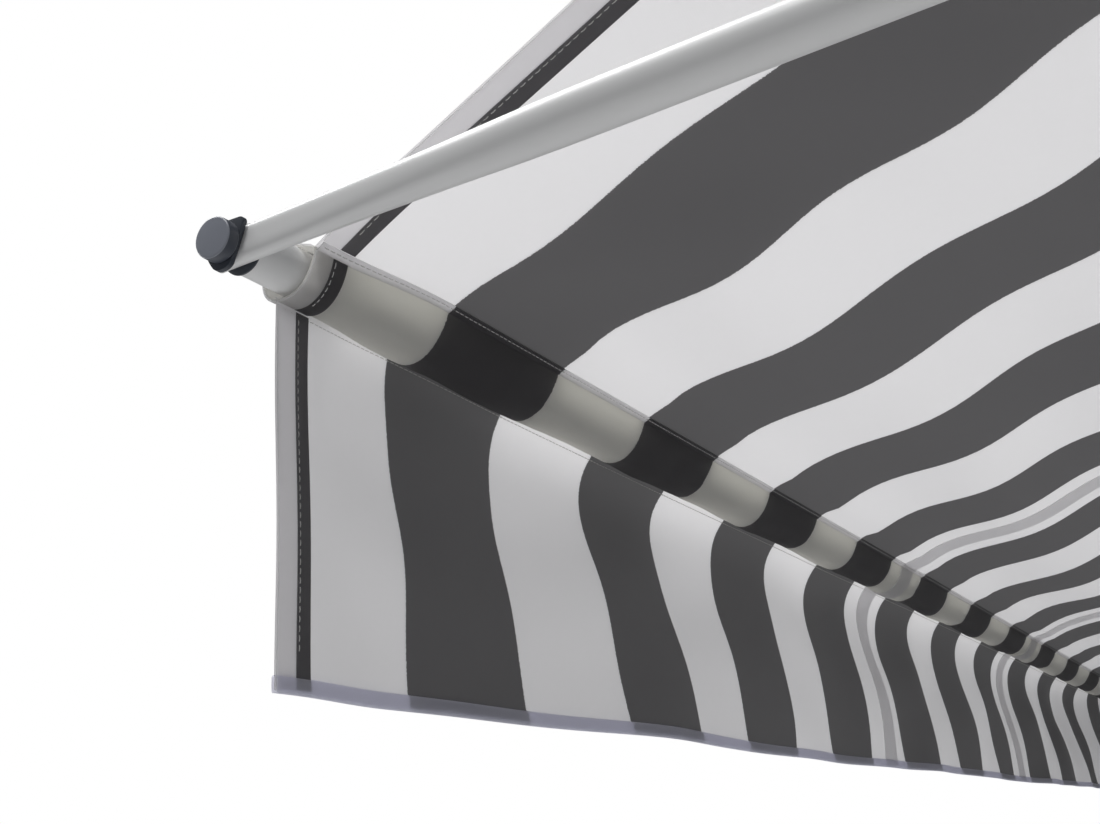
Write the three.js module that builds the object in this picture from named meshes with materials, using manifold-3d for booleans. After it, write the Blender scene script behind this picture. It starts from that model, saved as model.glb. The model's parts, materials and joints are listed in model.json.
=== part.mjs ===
// Wall-mounted drop-arm awning, in millimetres, +Z up.
// The wall is the plane y = 0 and the awning reaches out towards -Y. The exported group's
// origin is the middle of the wall face of the right-hand roller bracket.

import * as THREE from 'three';
import { mergeVertices } from 'three/addons/utils/BufferGeometryUtils.js';
import Module from 'manifold-3d';

const wasm = await Module();
wasm.setup();

// Cloth
const stripeWidth = 125;
const edgeStripe = 114;
const innerStripes = 21;
const clothHalf = (2 * edgeStripe + innerStripes * stripeWidth) / 2;
const canopySlope = THREE.MathUtils.degToRad(27);
const clothSolid = 1.5;
const canopySag = 60;
const valanceDrop = 200;
const bindingHeight = 8;
const bindingWall = 0.5;

// Front bar and arms
const barRadius = 12.5;
const barWall = 1.5;
const barOverhang = 28;
const pocketWall = 1.5;
const pocketReach = 26;
const armRadius = 11;
const armWall = 1.5;
const armLength = 1200;
const armDrop = THREE.MathUtils.degToRad(2.5);
const armX = clothHalf + 34;
const armFlat = 5;
const armEndHeight = 9;
const armEndReach = 10;
const armFlatLength = 18;
const armPressLength = 190;
const boltDrop = 3;
const endPlateThickness = 2.8;
const endCapLength = 7.2;
const endCapRadius = 10.4;
const endCapWall = 2;

// Roller
const rollerRadius = 25;
const rollerWall = 2;
const rollThickness = 2.4;
const rollerStandoff = 60;
const rollerOverhang = 8;
const pivotStandoff = 75;

// Hardware
const gap = 0.3;
const plateThickness = 4;
const stubRadius = 8;
const boltRadius = 4;
const pivotRadius = 5;
const boltHole = 0.3;
const washerThickness = 2.4;
const screwShank = 3.1;
const screwHole = 3.6;
const bracketHalf = 55;
const rollerScrewHeight = 40;
const armScrewHeight = 42;
const cheekX = clothHalf + 17;
const rollerPlateWidth = 50;
const armPlateWidth = 50;
const boxWall = 3;
const wheelRadius = 22;
const wormRadius = 9;
const wheelTeeth = 18;
const toothHeight = 3;
const threadPitch = 8;
const threadHalf = 24;
const meshGap = 0.6;

// Places worked out from the dimensions above, as (outward, up) from the roller's axis height
const barOut = pivotStandoff + armLength * Math.cos(armDrop);
const seamOut = barOut - pocketReach * Math.cos(canopySlope);
const canopyRadius = rollerRadius + gap + rollThickness + gap + clothSolid / 2;
const seamDrop = (Math.sin(canopySlope) * (seamOut - rollerStandoff) - canopyRadius) / Math.cos(canopySlope);
const barZ = -seamDrop - pocketReach * Math.sin(canopySlope);
const boltZ = barZ - boltDrop;
const pivotZ = boltZ + armLength * Math.sin(armDrop);
const originX = cheekX + plateThickness - rollerPlateWidth / 2;
const wormOut = rollerStandoff + wheelRadius + wormRadius + meshGap;
const gearX = cheekX + plateThickness + 7;

const finishes = {
  whitePaint: { color: 0xe9e9e8, roughness: 0.35, metalness: 0.1 },
  zinc: { color: 0xa9adb0, roughness: 0.4, metalness: 0.9 },
  darkPlastic: { color: 0x3c424c, roughness: 0.5, metalness: 0 },
  greyPlastic: { color: 0x8d9094, roughness: 0.55, metalness: 0 },
  brassAlloy: { color: 0xb08d4a, roughness: 0.4, metalness: 0.9 },
  cloth: { color: 0xdcdad6, roughness: 0.9, metalness: 0 },
  clearBinding: { color: 0xb4b4cd, roughness: 0.35, metalness: 0 },
};

const awning = new THREE.Group();
awning.position.x = -originX;

function addPart(name, geometry, finish) {
  const mesh = new THREE.Mesh(geometry, new THREE.MeshStandardMaterial(finishes[finish]));
  mesh.name = name;
  awning.add(mesh);
  return mesh;
}

// ---- Shape helpers ----

function toSolid(geometry) {
  const bare = geometry.clone();
  bare.deleteAttribute('normal');
  bare.deleteAttribute('uv');
  const merged = mergeVertices(bare, 1e-4);
  const vertProperties = new Float32Array(merged.attributes.position.array);
  const triVerts = new Uint32Array(merged.index.array);
  return new wasm.Manifold(new wasm.Mesh({ numProp: 3, vertProperties, triVerts }));
}

function toGeometry(solid) {
  const mesh = solid.getMesh();
  const geometry = new THREE.BufferGeometry();
  geometry.setAttribute('position', new THREE.BufferAttribute(new Float32Array(mesh.vertProperties), 3));
  geometry.setIndex(new THREE.BufferAttribute(new Uint32Array(mesh.triVerts), 1));
  geometry.computeVertexNormals();
  return geometry;
}

function cut(base, ...tools) {
  return toGeometry(tools.reduce((solid, tool) => solid.subtract(toSolid(tool)), toSolid(base)));
}

function join(base, ...others) {
  return toGeometry(others.reduce((solid, other) => solid.add(toSolid(other)), toSolid(base)));
}

function boxFrom(low, high) {
  const size = high.map((value, i) => value - low[i]);
  const middle = high.map((value, i) => (value + low[i]) / 2);
  return new THREE.BoxGeometry(...size).translate(...middle);
}

// A cylinder along X, Y or Z from one coordinate to another; centre holds the other two.
function rod(axis, radius, from, to, centre, sides = 20) {
  const geometry = new THREE.CylinderGeometry(radius, radius, to - from, sides);
  const middle = (from + to) / 2;
  if (axis === 'x') return geometry.rotateZ(-Math.PI / 2).translate(middle, centre[0], centre[1]);
  if (axis === 'y') return geometry.translate(centre[0], middle, centre[1]);
  return geometry.rotateX(Math.PI / 2).translate(centre[0], centre[1], middle);
}

// A shape drawn in (y, z) pushed along X from x0 to x1.
function alongX(shape, x0, x1, curveSegments = 8) {
  const geometry = new THREE.ExtrudeGeometry(shape, { depth: x1 - x0, bevelEnabled: false, curveSegments });
  const turn = new THREE.Matrix4().makeBasis(
    new THREE.Vector3(0, 1, 0),
    new THREE.Vector3(0, 0, 1),
    new THREE.Vector3(1, 0, 0),
  );
  return geometry.applyMatrix4(turn).translate(x0, 0, 0);
}

function circleHole(y, z, radius) {
  return new THREE.Path().absarc(y, z, radius, 0, 2 * Math.PI, true);
}

function ringAlongX(outer, inner, x0, x1, y, z, curveSegments = 12) {
  const shape = new THREE.Shape().absarc(y, z, outer, 0, 2 * Math.PI, false);
  shape.holes.push(circleHole(y, z, inner));
  return alongX(shape, x0, x1, curveSegments);
}

// Two points of a straight piece at an angle in the (y, z) plane, thickened to a strip.
function stripShape(start, end, thickness) {
  const along = new THREE.Vector2().subVectors(end, start).normalize();
  const side = new THREE.Vector2(-along.y, along.x).multiplyScalar(thickness / 2);
  return new THREE.Shape([
    start.clone().sub(side),
    end.clone().sub(side),
    end.clone().add(side),
    start.clone().add(side),
  ]);
}

// Every part with a left and a right copy is made for the right and mirrored through x = 0.
function addPair(name, geometry, finish) {
  addPart(`${name}_right`, geometry, finish);
  const mirrored = toGeometry(toSolid(geometry).mirror([1, 0, 0]));
  addPart(`${name}_left`, mirrored, finish);
}

// ---- Roller and its brackets ----

function rollerTube() {
  const half = clothHalf + rollerOverhang;
  const ring = ringAlongX(rollerRadius, rollerRadius - rollerWall, -half, half, -rollerStandoff, 0);
  addPart('roller_tube', ring, 'zinc');
}

function clothRoll() {
  const inner = rollerRadius + gap;
  const ring = ringAlongX(inner + rollThickness, inner, -clothHalf, clothHalf, -rollerStandoff, 0);
  addPart('cloth_roll', ring, 'cloth');
}

function rollerPlugs() {
  const centre = [-rollerStandoff, 0];
  const tubeEnd = clothHalf + rollerOverhang;
  const insert = rod('x', rollerRadius - rollerWall - gap, tubeEnd - 40, tubeEnd + 1, centre);
  const flange = rod('x', rollerRadius, tubeEnd + gap, tubeEnd + 5, centre);
  const stubRight = rod('x', stubRadius, tubeEnd + 4, gearX + 20, centre);
  const stubLeft = rod('x', stubRadius, tubeEnd + 4, cheekX + plateThickness + 8, centre);
  addPart('roller_plug_right', join(insert, flange, stubRight), 'greyPlastic');
  const left = toGeometry(toSolid(join(insert, flange, stubLeft)).mirror([1, 0, 0]));
  addPart('roller_plug_left', left, 'greyPlastic');
}

function rollerBrackets() {
  const plate = boxFrom(
    [cheekX + plateThickness - rollerPlateWidth, -plateThickness, -bracketHalf],
    [cheekX + 1, 0, bracketHalf],
  );
  const cheek = new THREE.Shape();
  cheek.moveTo(0, -bracketHalf);
  cheek.lineTo(0, bracketHalf);
  cheek.lineTo(-rollerStandoff - 20, 42);
  cheek.absarc(-rollerStandoff - 22, 20, 22, Math.PI / 2, Math.PI, false);
  cheek.lineTo(-rollerStandoff - 44, -20);
  cheek.absarc(-rollerStandoff - 22, -20, 22, Math.PI, 1.5 * Math.PI, false);
  cheek.closePath();
  cheek.holes.push(circleHole(-rollerStandoff, 0, stubRadius + 3));
  const cheekSolid = alongX(cheek, cheekX, cheekX + plateThickness, 8);
  const heights = [-rollerScrewHeight, rollerScrewHeight];
  const holes = heights.map((z) => rod('y', screwHole, -10, 5, [originX, z], 12));
  addPair('roller_bracket', cut(join(plate, cheekSolid), ...holes), 'whitePaint');
}

function rollerBushes() {
  const inner = stubRadius + boltHole;
  const centre = [-rollerStandoff, 0];
  const sleeve = rod('x', stubRadius + 3 - gap, cheekX - 1.6, cheekX + plateThickness + 1.4, centre);
  const flange = rod('x', stubRadius + 6, cheekX - 2.4, cheekX - gap, centre);
  const bore = rod('x', inner, cheekX - 10, cheekX + 20, centre);
  addPair('roller_bush', cut(join(sleeve, flange), bore), 'darkPlastic');
}

// A hexagon-headed wall screw with a pressed washer face, cut off flush with the wall.
function wallScrew(x, z) {
  const shank = rod('y', screwShank, -plateThickness - 1, -gap, [x, z], 12);
  const washer = rod('y', 6.4, -plateThickness - 1.8, -plateThickness - gap, [x, z], 14);
  const head = rod('y', 5.6, -plateThickness - 6.5, -plateThickness - 1.5, [x, z], 6);
  return join(shank, washer, head);
}

function rollerScrews() {
  addPair('roller_screw_upper', wallScrew(originX, rollerScrewHeight), 'zinc');
  addPair('roller_screw_lower', wallScrew(originX, -rollerScrewHeight), 'zinc');
}

// ---- Gear box ----

const gearBox = {
  low: [cheekX + plateThickness + gap + 1.6, -wormOut - 15, -34],
  high: [gearX + 24, -rollerStandoff + 30, 34],
  wall: boxWall,
};

function gearHousing() {
  const { low, high, wall } = gearBox;
  const shell = boxFrom(low, [high[0] - wall, high[1], high[2]]);
  const inside = boxFrom(
    [low[0] + wall, low[1] + wall, low[2] + wall],
    [high[0] + 10, high[1] - wall, high[2] - wall],
  );
  const stubHole = rod('x', stubRadius + 1, low[0] - 5, low[0] + 10, [-rollerStandoff, 0]);
  const shaftHole = rod('z', boltRadius + 0.5, low[2] - 5, low[2] + 10, [gearX + 8, -wormOut]);
  addPart('gear_housing', cut(shell, inside, stubHole, shaftHole), 'greyPlastic');
  const cover = boxFrom([high[0] - wall + gap, low[1], low[2]], high);
  const coverRim = boxFrom(
    [high[0] - wall - 2, low[1] + wall + gap, low[2] + wall + gap],
    [high[0] - 1, high[1] - wall - gap, high[2] - wall - gap],
  );
  const rimInside = boxFrom(
    [high[0] - wall - 5, low[1] + 2 * wall, low[2] + 2 * wall],
    [high[0] - wall, high[1] - 2 * wall, high[2] - 2 * wall],
  );
  addPart('gear_cover', cut(join(cover, coverRim), rimInside), 'greyPlastic');
}

function wormWheel() {
  const shape = new THREE.Shape();
  for (let i = 0; i < wheelTeeth; i += 1) {
    const start = (2 * Math.PI * i) / wheelTeeth;
    const step = (2 * Math.PI) / wheelTeeth;
    const root = wheelRadius - toothHeight;
    const corners = [[root, 0], [root, 0.35], [wheelRadius, 0.5], [wheelRadius, 0.85]];
    for (const [radius, part] of corners) {
      const angle = start + part * step;
      const y = -rollerStandoff + radius * Math.cos(angle);
      const z = radius * Math.sin(angle);
      if (i === 0 && part === 0) shape.moveTo(y, z);
      else shape.lineTo(y, z);
    }
  }
  shape.closePath();
  shape.holes.push(circleHole(-rollerStandoff, 0, stubRadius + gap));
  addPart('worm_wheel', alongX(shape, gearX + 2, gearX + 14), 'brassAlloy');
}

function wormShaft() {
  const shaftHalf = threadHalf + 4;
  const profile = [
    new THREE.Vector2(0, -shaftHalf),
    new THREE.Vector2(boltRadius, -shaftHalf),
    new THREE.Vector2(boltRadius, -threadHalf),
  ];
  for (let z = -threadHalf; z < threadHalf; z += threadPitch) {
    profile.push(new THREE.Vector2(wormRadius - toothHeight, z));
    profile.push(new THREE.Vector2(wormRadius, z + threadPitch * 0.4));
    profile.push(new THREE.Vector2(wormRadius, z + threadPitch * 0.6));
  }
  profile.push(new THREE.Vector2(wormRadius - toothHeight, threadHalf));
  profile.push(new THREE.Vector2(boltRadius, threadHalf));
  profile.push(new THREE.Vector2(boltRadius, shaftHalf));
  profile.push(new THREE.Vector2(0, shaftHalf));
  const worm = new THREE.LatheGeometry(profile, 12).rotateX(Math.PI / 2);
  worm.translate(gearX + 8, -wormOut, 0);
  const shaft = rod('z', boltRadius, -62, -27, [gearX + 8, -wormOut], 12);
  addPart('worm_shaft', join(worm, shaft), 'zinc');
}

// The eye that the crank hook goes through: a flat loop under a socket that takes the shaft.
function crankEye() {
  const x = gearX + 8;
  const eyeLow = -104;
  const eyeHigh = -84;
  const eyeOuter = 15;
  const eyeInner = 9;
  const outline = new THREE.Shape();
  outline.absarc(0, eyeLow, eyeOuter, Math.PI, 2 * Math.PI, false);
  outline.lineTo(eyeOuter, eyeHigh);
  outline.absarc(0, eyeHigh, eyeOuter, 0, Math.PI, false);
  const slot = new THREE.Path();
  slot.absarc(0, eyeLow, eyeInner, 2 * Math.PI, Math.PI, true);
  slot.lineTo(-eyeInner, eyeHigh);
  slot.absarc(0, eyeHigh, eyeInner, Math.PI, 0, true);
  outline.holes.push(slot);
  const loop = alongX(outline, x - 3, x + 3, 8).translate(0, -wormOut, 0);
  const socket = rod('z', 9, -72.5, -46, [x, -wormOut], 14);
  const bore = rod('z', boltRadius + boltHole, -62.5, -40, [x, -wormOut], 12);
  addPart('crank_eye', cut(join(socket, loop), bore), 'greyPlastic');
}

// ---- Arms and their wall brackets ----

// One ring of the arm's section: half width across X, half height across Z, at a distance
// from the wall pivot. A round section has both equal to the tube's radius.
function armRing(halfX, halfZ, reach, sides) {
  const ring = [];
  for (let i = 0; i < sides; i += 1) {
    const angle = (2 * Math.PI * i) / sides;
    ring.push(new THREE.Vector3(halfX * Math.cos(angle), -reach, halfZ * Math.sin(angle)));
  }
  return ring;
}

function hollowLoft(outerRings, innerRings) {
  const rings = [...outerRings, ...innerRings.slice().reverse()];
  const sides = outerRings[0].length;
  const positions = rings.flat().flatMap((point) => point.toArray());
  const index = [];
  for (let r = 0; r < rings.length; r += 1) {
    const next = (r + 1) % rings.length;
    for (let i = 0; i < sides; i += 1) {
      const j = (i + 1) % sides;
      index.push(r * sides + i, next * sides + j, next * sides + i);
      index.push(r * sides + i, r * sides + j, next * sides + j);
    }
  }
  const geometry = new THREE.BufferGeometry();
  geometry.setAttribute('position', new THREE.BufferAttribute(new Float32Array(positions), 3));
  geometry.setIndex(index);
  geometry.computeVertexNormals();
  return geometry;
}

function armTube() {
  const sides = 16;
  const steps = 3;
  const stations = [{ reach: -armEndReach, round: 0 }];
  for (let i = 0; i <= steps; i += 1) {
    const t = i / steps;
    const ease = t * t * (3 - 2 * t);
    stations.push({ reach: armFlatLength + t * (armPressLength - armFlatLength), round: ease });
  }
  const far = stations.map(({ reach, round }) => ({ reach: armLength - reach, round })).reverse();
  const all = [...stations, ...far];
  const section = (inset) => all.map(({ reach, round }) => {
    const halfX = THREE.MathUtils.lerp(armFlat, armRadius, round) - inset;
    const halfZ = THREE.MathUtils.lerp(armEndHeight, armRadius, round) - inset;
    return armRing(halfX, halfZ, reach, sides);
  });
  const tube = hollowLoft(section(0), section(armWall));
  const wallHole = rod('x', pivotRadius + boltHole, -20, 20, [0, 0]);
  const barHole = rod('x', boltRadius + boltHole, -20, 20, [-armLength, 0]);
  const arm = cut(tube, wallHole, barHole);
  arm.rotateX(armDrop).translate(armX, -pivotStandoff, pivotZ);
  addPair('arm', arm, 'whitePaint');
}

function armBrackets() {
  const ear = armFlat + washerThickness;
  const plate = boxFrom(
    [armX - armPlateWidth / 2, -plateThickness, pivotZ - bracketHalf],
    [armX + armPlateWidth / 2, 0, pivotZ + bracketHalf],
  );
  const outline = new THREE.Shape();
  outline.moveTo(0, pivotZ - 26);
  outline.lineTo(0, pivotZ + 26);
  outline.lineTo(-pivotStandoff, pivotZ + 15);
  outline.absarc(-pivotStandoff, pivotZ, 15, Math.PI / 2, 1.5 * Math.PI, false);
  outline.closePath();
  outline.holes.push(circleHole(-pivotStandoff, pivotZ, pivotRadius + boltHole));
  const inner = alongX(outline, armX - ear - plateThickness, armX - ear);
  const outer = alongX(outline, armX + ear, armX + ear + plateThickness);
  const heights = [pivotZ - armScrewHeight, pivotZ + armScrewHeight];
  const holes = heights.map((z) => rod('y', screwHole, -10, 5, [armX, z], 12));
  addPair('arm_bracket', cut(join(plate, inner, outer), ...holes), 'whitePaint');
  addPair('arm_screw_upper', wallScrew(armX, pivotZ + armScrewHeight), 'zinc');
  addPair('arm_screw_lower', wallScrew(armX, pivotZ - armScrewHeight), 'zinc');
}

function pivotHardware() {
  const centre = [-pivotStandoff, pivotZ];
  const outside = armFlat + washerThickness + plateThickness;
  const shank = rod('x', pivotRadius, armX - outside - 9, armX + outside + 1, centre, 14);
  const head = rod('x', 9, armX + outside + gap, armX + outside + 6.5, centre, 6);
  addPair('pivot_bolt', join(shank, head), 'zinc');
  const nut = rod('x', 9, armX - outside - 7.5, armX - outside - gap, centre, 6);
  const thread = rod('x', pivotRadius + gap, armX - outside - 20, armX, centre, 14);
  addPair('pivot_nut', cut(nut, thread), 'zinc');
  const sides = { inner: -1, outer: 1 };
  for (const [side, sign] of Object.entries(sides)) {
    const near = armX + sign * (armFlat + gap);
    const far = armX + sign * (armFlat + washerThickness - gap);
    const ring = ringAlongX(10, pivotRadius + gap, Math.min(near, far), Math.max(near, far), ...centre, 8);
    addPair(`pivot_washer_${side}`, ring, 'darkPlastic');
  }
}

// ---- Front bar and its ends ----

const barCentre = [-barOut, barZ];
const boltCentre = [-barOut, boltZ];
const barEnd = clothHalf + barOverhang;

function frontBar() {
  const tube = ringAlongX(barRadius, barRadius - barWall, -barEnd, barEnd, ...barCentre, 12);
  addPart('front_bar', tube, 'whitePaint');
}

function barPlugs() {
  const radius = barRadius - barWall - gap;
  const plug = rod('x', radius, barEnd - 40, barEnd + 0.5, barCentre);
  const thread = rod('x', boltRadius + gap, barEnd - 50, barEnd + 10, boltCentre, 14);
  addPair('bar_plug', cut(plug, thread), 'darkPlastic');
}

function barBolts() {
  const plateFace = armX + armFlat + gap + endPlateThickness;
  const shank = rod('x', boltRadius, barEnd - 30, plateFace + 1, boltCentre, 14);
  const head = rod('x', 7, plateFace + gap, plateFace + 4.2, boltCentre, 6);
  addPair('bar_bolt', join(shank, head), 'zinc');
}

// The moulded plate over the arm's end: square at the top towards the wall, rounded outwards,
// with a small lobe at the bottom. The outline is drawn around the bolt.
function endPlates() {
  const x0 = armX + armFlat + gap;
  const shape = new THREE.Shape();
  shape.moveTo(12, 7.8);
  shape.quadraticCurveTo(12.2, 10.8, 9, 10.8);
  shape.lineTo(-3, 10.8);
  shape.quadraticCurveTo(-11, 10.8, -11, 2);
  shape.quadraticCurveTo(-10.8, -5, -7.5, -9.5);
  shape.quadraticCurveTo(-5.5, -13.3, -2, -13.3);
  shape.quadraticCurveTo(3.6, -13.4, 4.8, -10);
  shape.closePath();
  shape.holes.push(circleHole(0, 0, boltRadius + boltHole));
  const plate = alongX(shape, x0, x0 + endPlateThickness, 5).translate(0, ...boltCentre);
  addPair('end_plate', plate, 'darkPlastic');
}

function endCaps() {
  const x0 = armX + armFlat + endPlateThickness + 2 * gap;
  const inner = endCapRadius - endCapWall;
  const edge = 1;
  const profile = [
    new THREE.Vector2(inner, 0),
    new THREE.Vector2(endCapRadius, 0),
    new THREE.Vector2(endCapRadius, endCapLength - edge),
    new THREE.Vector2(endCapRadius - edge, endCapLength),
    new THREE.Vector2(0, endCapLength),
    new THREE.Vector2(0, endCapLength - endCapWall),
    new THREE.Vector2(inner, endCapLength - endCapWall),
    new THREE.Vector2(inner, 0),
  ];
  const cap = new THREE.LatheGeometry(profile, 20).rotateZ(-Math.PI / 2);
  cap.translate(x0, ...boltCentre);
  addPair('end_cap', toGeometry(toSolid(cap)), 'darkPlastic');
}

// ---- Cloth parts ----

// The cloth hangs in a shallow curve between the roller and the bar's pocket.
function canopy() {
  const tangent = new THREE.Vector2(
    -rollerStandoff - canopyRadius * Math.sin(canopySlope),
    canopyRadius * Math.cos(canopySlope),
  );
  const alongCloth = new THREE.Vector2(-Math.cos(canopySlope), -Math.sin(canopySlope));
  const below = new THREE.Vector2(Math.sin(canopySlope), -Math.cos(canopySlope));
  const seam = new THREE.Vector2(-seamOut, -seamDrop).addScaledVector(alongCloth, -gap);
  const segments = 12;
  const lower = [];
  const upper = [];
  for (let i = 0; i <= segments; i += 1) {
    const t = i / segments;
    const sag = 4 * canopySag * t * (1 - t);
    const point = new THREE.Vector2().lerpVectors(tangent, seam, t).addScaledVector(below, sag);
    upper.unshift(point.clone().addScaledVector(below, -clothSolid / 2));
    lower.push(point.clone().addScaledVector(below, clothSolid / 2));
  }
  const strip = new THREE.Shape([...lower, ...upper]);
  addPart('canopy', alongX(strip, -clothHalf, clothHalf), 'cloth');
}

function barPocket() {
  const inner = barRadius + gap;
  const outer = inner + pocketWall;
  const bar = new THREE.Vector2(...barCentre);
  const pull = new THREE.Vector2(Math.cos(canopySlope), Math.sin(canopySlope));
  const root = bar.clone().addScaledVector(pull, outer - pocketWall / 2);
  const tip = bar.clone().addScaledVector(pull, pocketReach);
  const ring = ringAlongX(outer, inner, -clothHalf, clothHalf, ...barCentre, 12);
  const fin = alongX(stripShape(root, tip, clothSolid), -clothHalf, clothHalf);
  addPart('bar_pocket', join(ring, fin), 'cloth');
}

function valance() {
  const face = barRadius + gap + pocketWall + gap;
  const low = barZ - valanceDrop;
  const panel = boxFrom([-clothHalf, -barOut - face - clothSolid, low], [clothHalf, -barOut - face, barZ - 3]);
  addPart('valance', panel, 'cloth');
  const middle = -barOut - face - clothSolid / 2;
  const inner = clothSolid / 2 + gap;
  const outer = inner + bindingWall;
  const inside = low - gap;
  const bottom = inside - bindingWall;
  const lip = bottom + bindingHeight;
  const channel = new THREE.Shape([
    new THREE.Vector2(middle - outer, bottom),
    new THREE.Vector2(middle + outer, bottom),
    new THREE.Vector2(middle + outer, lip),
    new THREE.Vector2(middle + inner, lip),
    new THREE.Vector2(middle + inner, inside),
    new THREE.Vector2(middle - inner, inside),
    new THREE.Vector2(middle - inner, lip),
    new THREE.Vector2(middle - outer, lip),
  ]);
  addPart('edge_binding', alongX(channel, -clothHalf, clothHalf), 'clearBinding');
}

rollerTube();
clothRoll();
rollerPlugs();
rollerBrackets();
rollerBushes();
rollerScrews();
gearHousing();
wormWheel();
wormShaft();
crankEye();
armTube();
armBrackets();
pivotHardware();
frontBar();
barPlugs();
barBolts();
endPlates();
endCaps();
canopy();
barPocket();
valance();

export default awning;
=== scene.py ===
import json
import math
import bpy
from mathutils import Vector, Matrix, noise


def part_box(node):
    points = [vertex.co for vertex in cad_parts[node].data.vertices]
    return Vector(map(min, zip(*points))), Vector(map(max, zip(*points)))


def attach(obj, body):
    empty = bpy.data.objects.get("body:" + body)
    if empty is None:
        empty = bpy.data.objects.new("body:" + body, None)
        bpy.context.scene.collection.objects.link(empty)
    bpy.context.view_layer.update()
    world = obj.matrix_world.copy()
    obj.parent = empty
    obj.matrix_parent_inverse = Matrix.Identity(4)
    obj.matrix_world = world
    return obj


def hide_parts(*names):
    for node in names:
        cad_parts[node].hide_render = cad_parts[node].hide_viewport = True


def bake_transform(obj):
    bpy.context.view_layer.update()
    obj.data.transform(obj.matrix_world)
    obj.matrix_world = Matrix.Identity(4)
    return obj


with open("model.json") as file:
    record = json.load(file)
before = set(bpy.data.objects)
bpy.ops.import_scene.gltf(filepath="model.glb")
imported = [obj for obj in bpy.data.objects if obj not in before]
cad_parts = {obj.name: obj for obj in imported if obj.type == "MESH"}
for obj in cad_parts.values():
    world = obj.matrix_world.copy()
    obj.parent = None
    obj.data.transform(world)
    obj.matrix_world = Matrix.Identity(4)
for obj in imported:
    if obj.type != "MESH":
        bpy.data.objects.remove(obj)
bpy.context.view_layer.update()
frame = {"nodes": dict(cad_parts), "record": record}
print("frame loaded,", len(frame["nodes"]), "nodes")


def middleOf(node):
    low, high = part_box(node)
    return (Vector(low) + Vector(high)) / 2


def sizeOf(node):
    low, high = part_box(node)
    return Vector(high) - Vector(low)


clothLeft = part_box("canopy")[0][0]
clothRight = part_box("canopy")[1][0]
clothMiddle = (clothRight + clothLeft) / 2
clothHalf = (clothRight - clothLeft) / 2
barCentre = middleOf("front_bar")
barRadius = sizeOf("front_bar").z / 2
rollerCentre = middleOf("roller_tube")
rollRadius = sizeOf("cloth_roll").z / 2
ends = {"right": (clothRight, -1), "left": (clothLeft, 1)}  # the edge's place and the way inward

cloth = {
    "stripe": 0.125,
    "edgeStripe": 0.114,
    "innerStripes": 21,
    "slope": math.radians(27),
    "thickness": 0.0006,
    "hemWhite": 0.0132,
    "hemWidth": 0.0245,
    "sag": 0.092,
    "sagReach": 0.24,
    "pocketReach": 0.026,
    "joinFrom": 1.029,
    "joinWidth": 0.046,
    "rollerGap": 0.001,
    "stitchInset": 0.0022,
}

# The seam is drawn down towards the bar: out and down at the cloth's ends, less further in.
seamPull = {
    "out": 0.0032,
    "outLess": 0.0022,
    "down": 0.0062,
    "downLess": 0.0047,
    "endReach": 0.11,
    "fade": 0.03,
}

canopyFolds = {
    "firstFold": 0.052,  # from the seam to the first fold
    "endAdvance": 0.09,  # how much sooner it comes at the cloth's ends
    "endAdvanceFade": (0.05, 0.24),
    "wander": 0.012,
    "height": 0.0062,
    "heightFade": 0.5,
    "spacing": 0.175,
    "spacingWander": 0.02,
    "broadHeight": 0.005,
    "broadLength": 0.62,
    "creaseHeight": 0.0016,
    "flatAtSeam": 0.02,
}

valanceCut = {
    "drop": 0.1985,
    "level": 0.2035,  # how far below the bar's axis the lower edge hangs
    "endHang": (0.004, -0.0155),  # outward and up from the bar's axis, at the cloth's ends
    "midHang": (0.020, -0.005),
    "bulge": 0.019,
    "endBulge": 0.004,
    "hangFade": (0.008, 0.10),
    "binding": 0.008,
}

valanceFolds = {
    "bulgeDepth": 0.045,  # where the bulge is fullest, down from the seam
    "bulgeFade": (0.06, 0.42),
    "tailIn": 0.012,
    "tailOut": 0.014,
    "tailFade": (0.4, 0.75),
    "tailDepth": 0.2,
    "swayHeight": 0.0045,
    "swayLength": 0.83,
    "rippleHeight": 0.0042,
    "rippleLength": 0.29,
    "rippleWander": 0.02,
    "rippleDepth": 0.23,
    "foldHeight": 0.0014,
    "foldLength": 0.135,
    "creaseHeight": 0.0014,
    "edgeHeight": 0.0006,
    "edgeLength": 0.16,
    "slopeStep": 0.0015,
}

# Handles of the pocket's two curves, outward and up from the bar's axis: at the cloth's ends, further in.
pocketShape = {
    "underFirst": ((-0.016, -0.012), (-0.012, -0.018)),
    "underLast": ((-0.006, -0.018), (0.012, -0.022)),
    "overFirst": ((0.0165, -0.0165), (0.021, 0.016)),
    "overLast": ((0.0165, 0.020), (0.0, 0.026)),
    "puckerHeight": 0.0016,
    "finePuckerHeight": 0.0004,
    "slackHeight": 0.0012,
    "slackLength": 0.21,
    "looseness": 0.0004,
    "endShare": 0.3,
    "barGap": 0.0009,
    "alongStep": 0.02,
}

clothDown = Vector((0, -math.cos(cloth["slope"]), -math.sin(cloth["slope"])))
clothUp = Vector((0, -math.sin(cloth["slope"]), math.cos(cloth["slope"])))
barAxis = Vector((0, barCentre.y, barCentre.z))
seamPoint = barAxis - clothDown * cloth["pocketReach"]
rollerPoint = Vector((0, rollerCentre.y, rollerCentre.z)) + clothUp * (rollRadius + cloth["rollerGap"])
canopyLength = (seamPoint - rollerPoint).dot(clothDown)


def ease(low, high, value):
    t = min(1.0, max(0.0, (value - low) / (high - low)))
    return t * t * (3 - 2 * t)


def fromEnd(x):
    return max(0.0, clothHalf - abs(x - clothMiddle))


def wave(length, value, shift=0.0):
    return math.sin(2 * math.pi * value / length + shift)


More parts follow.
